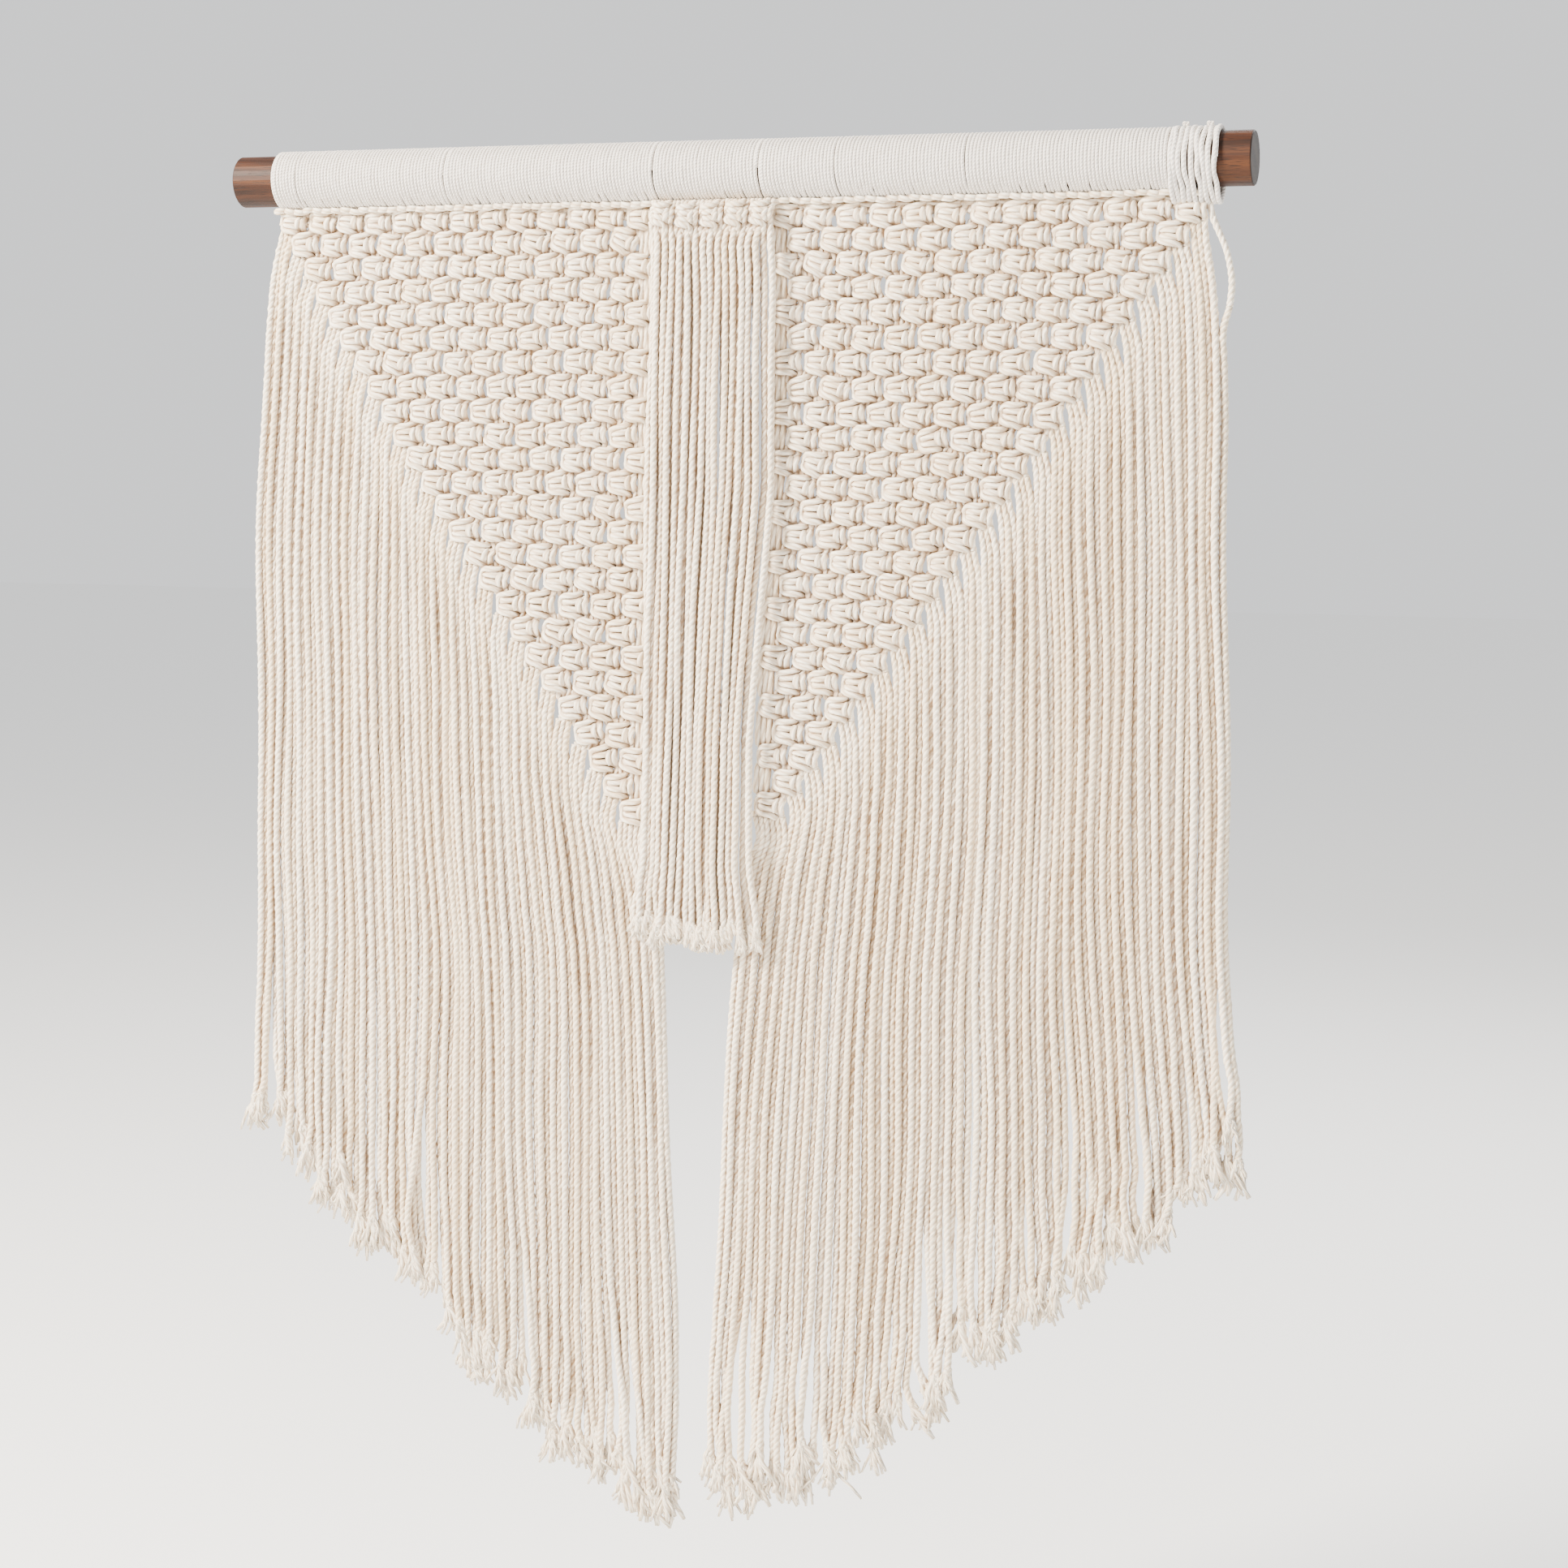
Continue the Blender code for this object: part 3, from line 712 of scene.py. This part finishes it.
class Side:
    """One half of the hanging: its rows of knots, and the ways that its cords take."""

    def __init__(self, sign, rows, net, fringe, hem, seed):
        self.sign, self.net, self.fringe = sign, net, fringe
        self.heights = [lookup(rows, row) for row in range(ROWS)]
        self.hem = [(tooth + 0.5, height) for tooth, height in enumerate(hem)]
        self.chance = random.Random(seed)
        self.seed = seed
        self.knots = {}

    def foot(self, row):
        """Height of the line between a row and the next one down."""
        if row < ROWS - 1:
            return (self.heights[row] + self.heights[row + 1]) / 2.0
        return self.heights[row] - (self.heights[row - 1] - self.heights[row]) / 2.0

    def row_at(self, z):
        """The row that is at a height, as a number that also runs between and past the rows."""
        pitch = self.heights[-2] - self.heights[-1]
        below = (self.heights[-1] - z) / pitch
        if below > 0.0:
            return ROWS - 1 + below
        return float(np.interp(-z, [-height for height in self.heights], range(ROWS)))

    def out_to_x(self, out):
        """A place along the dowel, from one that is counted out from the centre."""
        return self.sign * out

    def knot_place(self, row, knot):
        """The middle of a knot, out from the centre."""
        z = self.heights[row]
        column = knot + (0.5 if row % 2 == 0 else 1.0)
        return lookup(self.net, z, 1) + column * lookup(self.net, z, 2)

    def last_row(self, cord):
        """The last row that a cord is knotted in. Cords are counted from the inner edge."""
        return min(ROWS - 1, (CORDS_A_SIDE - 1 - cord) // CORDS_A_ROW)

    def knot_of(self, row, cord):
        """The knot that a cord goes through in a row, and its place in it from the inside out."""
        if row % 2 == 0:
            return divmod(cord, CORDS_A_KNOT)
        if cord < CORDS_A_ROW:
            return None
        return divmod(cord - CORDS_A_ROW, CORDS_A_KNOT)

    def from_left(self, place):
        """A cord's place in its knot, counted from the left."""
        return place if self.sign > 0 else CORDS_A_KNOT - 1 - place

    def knot_shape(self, row, knot):
        """A knot's own small differences: turn, shift, lift, width and height."""
        if (row, knot) not in self.knots:
            chance = self.chance
            turn = math.radians(chance.gauss(-3.0, 6.0))
            shift, lift = chance.gauss(0.0, 0.5), chance.gauss(0.0, 0.5)
            width, height = chance.uniform(1.05, 1.14), chance.uniform(1.0, 1.12)
            self.knots[row, knot] = (turn, shift, lift, width, height)
        return self.knots[row, knot]

    def beside_edge(self, cord, z):
        """Where a cord hangs straight down at the net's inner edge, out from the centre."""
        return lookup(self.net, z, 1) + (cord + 0.5) / CORDS_A_KNOT * lookup(self.net, z, 2)

    def leaving(self, row, cord):
        """The point where a cord leaves a row at its foot."""
        z = self.foot(row)
        stretch = lookup(self.net, z, 2) / KNOT_COLUMN
        found = self.knot_of(row, cord)
        if found is None:
            return (self.out_to_x(self.beside_edge(cord, z)), 0.0, z)
        knot, place = found
        x = self.out_to_x(self.knot_place(row, knot)) + knot_out(self.from_left(place)) * stretch
        return (x, 0.0, z)

    def net_route(self, cord):
        """A cord's whole way through the net, from the holding cord to where it drops."""
        route = []
        for row in range(self.last_row(cord) + 1):
            z = self.heights[row]
            stretch = lookup(self.net, z, 2) / KNOT_COLUMN
            rise = (self.foot(row - 1) if row else z + KNOT_ROW / 2.0) - self.foot(row)
            found = self.knot_of(row, cord)
            if found is None:
                out = self.beside_edge(cord, z)
                bow = EDGE_BOW * noise.noise(Vector((row * 0.7, cord * 3.1, self.seed)))
                route.append((self.out_to_x(out) + bow, 0.0, z))
            else:
                knot, place = found
                middle = self.out_to_x(self.knot_place(row, knot))
                turn, shift, lift, width, height = self.knot_shape(row, knot)
                if not route:
                    aside = knot_out(self.from_left(place)) * stretch
                    route.append((middle + aside, ENTRY_FORWARD, z + ENTRY_SHARE * rise))
                for across, forward, up in KNOT[self.from_left(place)]:
                    flare = 1.0 + KNOT_FLARE * min(1.0, abs(up) / FLARE_AT)
                    a, b = across * stretch * width * flare, up * height * rise / KNOT_ROW
                    x = middle + shift + a * math.cos(turn) - b * math.sin(turn)
                    route.append((x, -forward, z + lift + a * math.sin(turn) + b * math.cos(turn)))
            route.append(self.leaving(row, cord))
        return route


left_side = Side(-1.0, LEFT_ROWS, LEFT_NET, LEFT_FRINGE, LEFT_HEM, seed=21)
right_side = Side(1.0, RIGHT_ROWS, RIGHT_NET, RIGHT_FRINGE, RIGHT_HEM, seed=34)
NET_CORD_RADIUS = 2.5


def make_net(name, side):
    """All the knotted cords of one side."""
    cords = Cords(lay=NET_LAY)
    longest = 0.0
    for cord in range(CORDS_A_SIDE):
        before = cords.length
        line = smooth_route(side.net_route(cord), NET_STEP)
        cords.add_cord(line, NET_CORD_RADIUS, side.chance.uniform(0.3, 1.0), side.chance.random())
        longest = max(longest, cords.length - before)
    return cords.make(name, cotton), longest, cords.length


# ---------------------------------------------------------------------------
# The two fringes: the cords that drop out of the net, row by row, and hang side by side, every
# other one a little behind. They sway, bunch and part a little, and are cut to a slant at the
# foot, where every cord's end has come apart into pale loose yarns.

FRINGE_RADIUS = 2.9
FRINGE_STEP = 3.0
# how far apart the points of a hanging cord's route are, and how near its foot the last may be
ROUTE_STEP = 18.0
FOOT_CLEAR = 8.0
# how much cords differ in length, and how far above the hem's lowest line they end on average
HEM_SPREAD = 9.0
HEM_RISE = 13.0
# how far up from the foot cords curl, clump and stray
FOOT_LENGTH = 130.0
STRAY_SHARE = 0.12
STRAY_REACH = 7.0
# every other cord hangs behind, and the innermost ones tuck in behind the net's edge
LAYER_DEPTH = 1.25
EDGE_TUCK = 3.0
# a cut end's pieces: the strands first, then loose yarns, drawn thicker and fewer than real ones
LOOSE_PIECES = 12
STRAND_RADIUS = 2.1
YARN_RADIUS = 1.35
# the radius along a piece, as a share of the full one
FRAY_TAPER = np.array([1.0, 1.0, 1.0, 0.95, 0.75])
FRAY_OVERLAP = 5.0
FRAY_LENGTH = 25.0
FRAY_FLARE = 0.12


def fringe_place(side, order, z):
    """Where a cord of the fringe hangs at a height. Cords are counted from the outermost."""
    row = side.row_at(z)
    dropped = min(CORDS_A_SIDE, CORDS_A_ROW * max(1.0, row + 0.5))
    held = max(0.0, COLUMNS - row / 2.0)
    outer = lookup(side.fringe, z, 2) - FRINGE_RADIUS
    inner = lookup(side.net if row < ROWS else side.fringe, z, 1) + held * lookup(side.net, z, 2)
    inner -= EDGE_TUCK * min(1.0, held)
    return inner + (outer - inner) * max(0.0, dropped - order - 0.5) / dropped


def fringe_out(side, order, z, start):
    """The same, without the small jolts that the net's steps would give it."""
    reach = min(60.0, 0.6 * (start - z))
    shares = (-1.0, -0.5, 0.0, 0.5, 1.0)
    return sum(fringe_place(side, order, z + share * reach) for share in shares) / len(shares)


def fringe_route(side, order, foot, stray):
    """A cord from its last knot to its cut end. A stray one wanders off near its foot."""
    cord = CORDS_A_SIDE - 1 - order
    start = side.leaving(side.last_row(cord), cord)
    if order < 0:
        start = (SLACK_ROUTE[-1][0], 0.0, SLACK_ROUTE[-1][1])
    route = [start]
    layer = LAYER_DEPTH if order % 2 else -LAYER_DEPTH
    shift = -0.5 * side.sign if order % 2 else 0.0
    z = start[2] - 16.0
    while z > foot + FOOT_CLEAR:
        ease = min(1.0, (start[2] - z) / 70.0)
        near_foot = max(0.0, 1.0 - (z - foot) / FOOT_LENGTH)
        together = noise.noise(Vector((order * 0.11, z * 0.006, side.seed)))
        pairs = noise.noise(Vector((order * 0.37, z * 0.005, side.seed + 3.0)))
        alone = noise.noise(Vector((order * 0.9, z * 0.0055, side.seed + 7.0)))
        depth = noise.noise(Vector((order * 0.83, z * 0.007, side.seed + 15.0)))
        curl = noise.noise(Vector((order * 1.7, z * 0.03, side.seed + 23.0)))
        clump = noise.noise(Vector((order * 0.35, z * 0.013, side.seed + 31.0)))
        out = fringe_out(side, order, z, start[2])
        low = min(1.0, (start[2] - z) / 450.0)
        out += ease * ((2.8 + 2.2 * low) * together + 1.5 * pairs + (0.7 + 0.4 * low) * alone)
        out += near_foot * (3.2 * curl + 3.4 * clump + stray) + ease * shift
        forward = ease * (1.5 * depth + layer) + near_foot * (2.4 * curl - 0.5 * abs(stray))
        route.append((side.out_to_x(out), forward, z))
        z -= ROUTE_STEP
    x, y = route[-1][0] + side.chance.gauss(0.0, 2.2), route[-1][1] + side.chance.gauss(0.0, 1.5)
    route.append((x, y, foot))
    return route


def fray(cords, line, chance, longest, flare):
    """The cut end of a cord: its three strands come apart, and fine yarns come loose from them."""
    heading = line[-1] - line[-3]
    heading = heading / np.linalg.norm(heading)
    for loose in range(LOOSE_PIECES):
        strand = loose < STRANDS
        spread = flare if strand else 1.7 * flare
        way = Vector((heading[0], 0.5 * heading[1], heading[2]))
        way += Vector((chance.gauss(0.0, spread), chance.uniform(-0.1, 0.1), -0.1))
        bend = Vector((chance.gauss(0.0, 0.19), chance.uniform(-0.08, 0.08), -0.1))
        round_cord = 2.0 * math.pi * loose / STRANDS
        start = Vector(line[-1]) - Vector(heading) * FRAY_OVERLAP
        start += Vector((1.4 * math.cos(round_cord), 1.2 * math.sin(round_cord), 0.0))
        reach = longest * (chance.uniform(0.5, 1.0) if strand else chance.uniform(0.35, 1.0))
        shares = (0.0, 0.25, 0.5, 0.75, 1.0)
        piece = [start + way * reach * share + bend * reach * share * share for share in shares]
        for at in range(1, 5):
            piece[at].x += chance.gauss(0.0, 0.034 * longest)
        radius = (STRAND_RADIUS if strand else YARN_RADIUS) * FRAY_TAPER
        shape = np.ones(4 if strand else 3)
        tone = chance.uniform(0.5, 1.0)
        cords.add_tube(np.array(piece), radius, np.zeros(5), shape, tone, np.linspace(0.0, 1.0, 5))


def make_fringe(name, side, orders):
    """Some of the hanging cords of one side, with their frayed ends."""
    cords = Cords()
    for order in orders:
        column = (CORDS_A_SIDE - order - 0.5) / CORDS_A_KNOT
        shorter = max(-HEM_RISE, side.chance.gauss(0.0, HEM_SPREAD))
        foot = lookup(side.hem, column) + shorter + HEM_RISE
        strays = side.chance.random() < STRAY_SHARE
        stray = side.chance.gauss(0.0, STRAY_REACH) if strays else 0.0
        line = smooth_route(fringe_route(side, order, foot, stray), FRINGE_STEP)
        radius = np.full(len(line), FRINGE_RADIUS)
        radius[:4] = NET_CORD_RADIUS
        cords.add_cord(line, radius, side.chance.uniform(0.0, 1.0), side.chance.random())
        fray(cords, line, side.chance, FRAY_LENGTH, FRAY_FLARE)
    return cords.make(name, cotton)


for name, side in (("left", left_side), ("right", right_side)):
    net, longest, length = make_net("net_" + name + "_knotted", side)
    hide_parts("net_" + name)
    half = CORDS_A_SIDE // 2
    # at the right, the slack cord hangs on beside the outermost one
    first = -1 if side is right_side else 0
    fringes = [
        make_fringe("fringe_" + name + "_outer_cords", side, range(first, half)),
        make_fringe("fringe_" + name + "_inner_cords", side, range(half, CORDS_A_SIDE)),
    ]
    for fringe in fringes:
        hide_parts("fringe_" + name)


# ---------------------------------------------------------------------------
# The heading: the holding cord under the dowel with every cord of the nets looped over it.
# A doubled cord's loop passes over the holding cord, and shows as a short bar in front.

HEADING_CORD_RADIUS = 2.3
LOOP_RADIUS = 2.3
# across, forward, up from the middle of the holding cord
LOOP = (
    (-1.9, 0.4, -6.5), (-2.0, -2.6, -2.0), (-2.9, -2.0, 2.6), (-4.3, 2.8, 3.6), (-3.0, 6.4, 3.4),
    (0.0, 7.4, 3.0), (3.0, 6.4, 2.6), (4.3, 2.8, 3.2), (2.9, -2.0, 2.6), (2.0, -2.6, -2.0),
    (1.9, 0.4, -6.5),
)

low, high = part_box("heading")
heading = Cords(lay=NET_LAY)
chance = random.Random(5)
middle = -HEADING_DROP
straight = [(x, 0.4, middle) for x in np.linspace(low.x / MM + 4.0, high.x / MM, 60)]
heading.add_cord(smooth_route(straight, FRINGE_STEP), HEADING_CORD_RADIUS, tone=0.6)
# the slipped cord's way from the holding cord to where it starts to bow out
slack_start = (SLACK_ROUTE[0][0] + 0.3, 0.0, SLACK_ROUTE[0][1] - 1.0)
slipped = [(336.0, 0.4, middle), (338.6, 0.2, middle - 4.0), slack_start]
heading.add_cord(smooth_route(slipped, CORD_STEP), SLACK_RADIUS, tone=0.9)
for side in (left_side, right_side):
    for knot in range(COLUMNS):
        at = side.out_to_x(side.knot_place(0, knot))
        for pair in (0, 2, 4):
            centre = at + (knot_out(pair) + knot_out(pair + 1)) / 2.0
            tilt = chance.gauss(0.25, 0.25)
            lift = chance.gauss(0.0, 0.4)
            loop = [
                (centre + a, -f, middle + lift + up + tilt * a * (0.35 if f > 1.0 else 0.0))
                for a, f, up in LOOP
            ]
            heading.add_cord(smooth_route(loop, NET_STEP), LOOP_RADIUS, chance.uniform(0.4, 1.0))
looped = heading.make("heading_looped", cotton)
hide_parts("heading")


# ---------------------------------------------------------------------------
# The centre fringe: more cords, in front of the gap between the nets. They come out of a row of
# five square knots under the wrapping, and hang straight in two layers to a frayed hem that
# flares a little.

CENTRE_KNOTS = 5
CENTRE_CORDS = CENTRE_KNOTS * CORDS_A_KNOT
CENTRE_RADIUS = 2.7
CENTRE_KNOT_HEIGHT = -30.0
CENTRE_HEM = -532.0
CENTRE_FRAY_LENGTH = 16.0
CENTRE_FRAY_FLARE = 0.2
# how much the cords differ in length, and how far above the hem they end on average
CENTRE_SPREAD = 4.5
CENTRE_RISE = 6.0
# how far forward of the dowel's axis each layer hangs, and how far left the back one is
FRONT_LAYER = 13.6
BACK_LAYER = 9.6
BACK_SHIFT = 1.2
# where the cords come out from under the wrapping
ENTRY_Y = -6.0
ENTRY_Z = -20.5
# the column that a knot's own shape fills here
CENTRE_COLUMN = 20.0
# the width of the last two cords, which hang a little apart, and the first one's share of it
LAST_CORDS_WIDTH = 9.5
FIRST_OF_LAST = 0.55
# height, left edge, right edge
CENTRE_EDGES = (
    (-22.5, -47.0, 42.0), (-78.0, -49.0, 45.3), (-160.0, -52.5, 45.5), (-215.0, -53.5, 44.5),
    (-293.0, -54.5, 37.2), (-390.0, -56.0, 30.6), (-480.0, -59.5, 28.8), (-538.0, -68.5, 35.5),
)


def centre_route(cord, layer, top, seed, foot):
    """A cord hanging in the centre fringe, after its first points. The last two hang apart."""
    share = (cord + 0.5) / (CENTRE_CORDS - 2)
    route = list(top)
    start = route[-1][2]
    z = start - 14.0
    while z > foot + FOOT_CLEAR:
        ease = min(1.0, (start - z) / 60.0)
        left, right = lookup(CENTRE_EDGES, z, 1), lookup(CENTRE_EDGES, z, 2)
        x = left + CENTRE_RADIUS + share * (right - left - 2 * CENTRE_RADIUS - LAST_CORDS_WIDTH)
        if share > 1.0:
            apart = 0.0 if cord == CENTRE_CORDS - 1 else FIRST_OF_LAST * LAST_CORDS_WIDTH
            x = right - CENTRE_RADIUS - apart
        together = noise.noise(Vector((share * 3.0, z * 0.007, seed)))
        alone = noise.noise(Vector((share * 19.0, z * 0.006, seed + 4.0)))
        depth = noise.noise(Vector((share * 17.0, z * 0.007, seed + 8.0)))
        x += ease * (2.0 * together + 2.4 * alone) - (BACK_SHIFT if layer == BACK_LAYER else 0.0)
        route.append((x, -layer + ease * 2.8 * depth, z))
        z -= ROUTE_STEP
    return route


centre, loose_ends = Cords(), Cords(lobed=False)
chance = random.Random(77)
top_left, top_right = lookup(CENTRE_EDGES, -30.0, 1), lookup(CENTRE_EDGES, -30.0, 2)
knot_width = (top_right - top_left) / CENTRE_KNOTS
stretch = knot_width / CENTRE_COLUMN

for knot in range(CENTRE_KNOTS):
    middle = top_left + (knot + 0.5) * knot_width
    lift = CENTRE_KNOT_HEIGHT + chance.gauss(0.0, 1.6)
    turn = math.radians(chance.gauss(-4.0, 6.0))
    for place, shape in enumerate(KNOT):
        top = [(middle + knot_out(place) * stretch * 0.9, ENTRY_Y, ENTRY_Z)]
        for across, forward, up in shape:
            a = across * stretch
            x = middle + a * math.cos(turn) - up * math.sin(turn)
            top.append((x, -FRONT_LAYER + 1.5 - forward, lift + a * math.sin(turn) + up))
        layer = FRONT_LAYER if place % 2 else BACK_LAYER
        foot = CENTRE_HEM + chance.gauss(0.0, CENTRE_SPREAD) + CENTRE_RISE
        route = centre_route(CORDS_A_KNOT * knot + place, layer, top, 50.0 + layer, foot)
        x, y = route[-1][0] + chance.gauss(0.0, 2.5), route[-1][1] + chance.gauss(0.0, 1.2)
        route.append((x, y, foot))
        line = smooth_route(route, FRINGE_STEP)
        centre.add_cord(line, CENTRE_RADIUS, chance.uniform(0.4, 1.0), chance.random())
        fray(loose_ends, line, chance, CENTRE_FRAY_LENGTH, CENTRE_FRAY_FLARE)
centre_fringe = centre.make("fringe_centre_cords", cotton)
centre_ends = loose_ends.make("fringe_centre_loose_ends", cotton)
for piece in (centre_fringe, centre_ends):
    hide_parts("fringe_centre")
